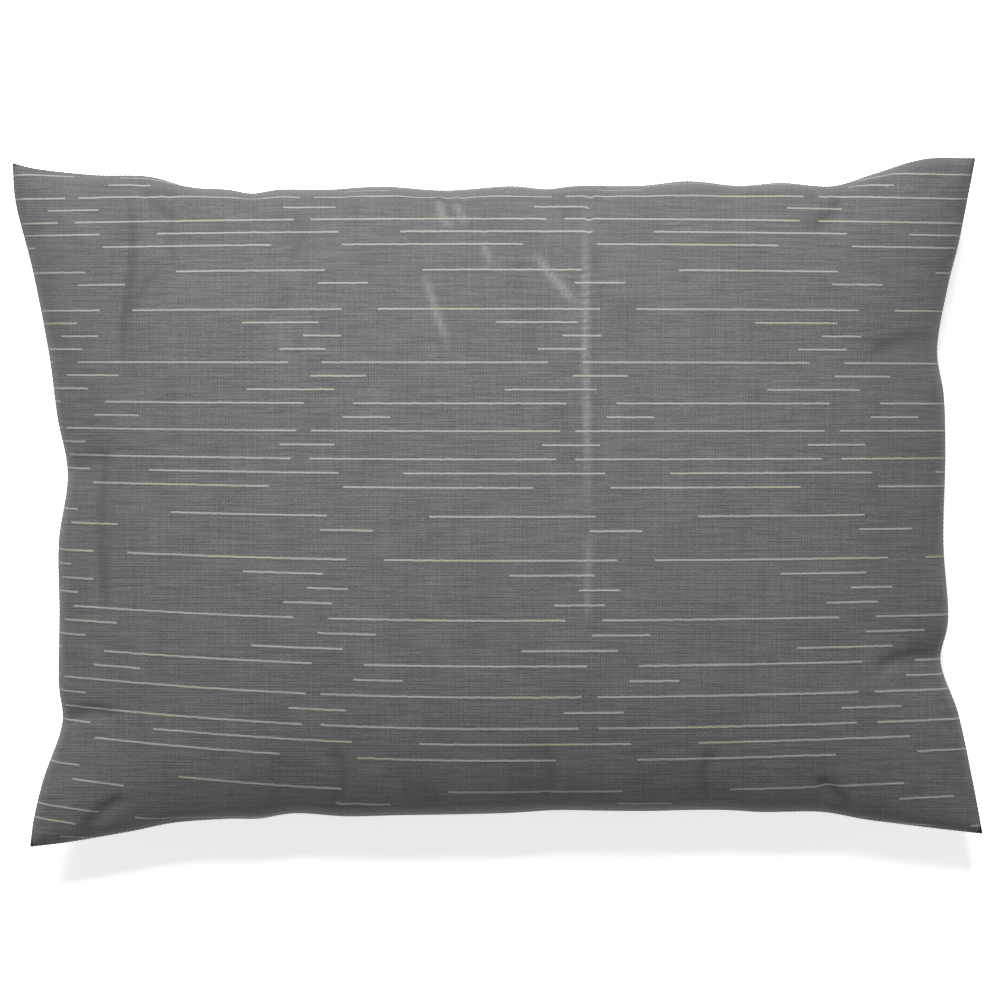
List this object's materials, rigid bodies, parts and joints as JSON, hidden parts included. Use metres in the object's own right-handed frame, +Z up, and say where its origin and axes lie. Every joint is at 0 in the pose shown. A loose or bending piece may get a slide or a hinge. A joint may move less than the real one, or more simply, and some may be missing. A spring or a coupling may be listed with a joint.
{
  "type": "bed pillow",
  "caption": "Rectangular bed pillow: striped woven case with a concealed long-side zip over a sewn fibre-filled insert, lying flat.",
  "frame": {"origin": "centre of the bounding box's base: under the middle of the pillow, on the surface it lies on", "axes": "+X along the pillow's length, +Y across its width away from the zip side, +Z up through the front panel"},
  "size_m": [0.685, 0.487, 0.1617],
  "materials": {
    "case_cloth": "grey plain weave with thin pale broken stripes woven in",
    "case_thread": "grey polyester sewing thread",
    "label_tape": "white satin label tape, blank",
    "zip_tape": "grey twill zip tape",
    "zip_coil": "grey nylon monofilament coil",
    "zip_metal": "nickel-plated die-cast metal",
    "ticking": "white cotton ticking",
    "ticking_thread": "white sewing thread",
    "fibre_fill": "white carded polyester fibre"
  },
  "bodies": {
    "case": {"case_front": "case_cloth", "case_back": "case_cloth", "case_seam_thread": "case_thread", "case_care_label": "label_tape", "zip_tape_front": "zip_tape", "zip_tape_back": "zip_tape", "zip_coil_front": "zip_coil", "zip_coil_back": "zip_coil", "zip_top_stop_front": "zip_metal", "zip_top_stop_back": "zip_metal", "zip_bottom_stop": "zip_metal", "zip_stitch_front": "case_thread", "zip_stitch_back": "case_thread", "zip_bar_tack_left": "case_thread", "zip_bar_tack_right": "case_thread", "insert_ticking_front": "ticking", "insert_ticking_back": "ticking", "insert_seam_thread": "ticking_thread", "fill_batt_upper": "fibre_fill", "fill_batt_lower": "fibre_fill"},
    "slider": {"zip_slider": "zip_metal"},
    "pull": {"zip_pull": "zip_metal"}
  },
  "joints": [
    {"name": "zip_slide", "type": "slide", "parent": "case", "child": "slider", "axis": [-1, 0, 0], "range_m": [0, 0.325], "deforming": ["zip_coil_front", "zip_coil_back"]},
    {"name": "pull_hinge", "type": "hinge", "parent": "slider", "child": "pull", "pos_m": [0.16, -0.21864, 0.0645], "axis": [0, 0, 1], "range_deg": [0, 170]}
  ]
}
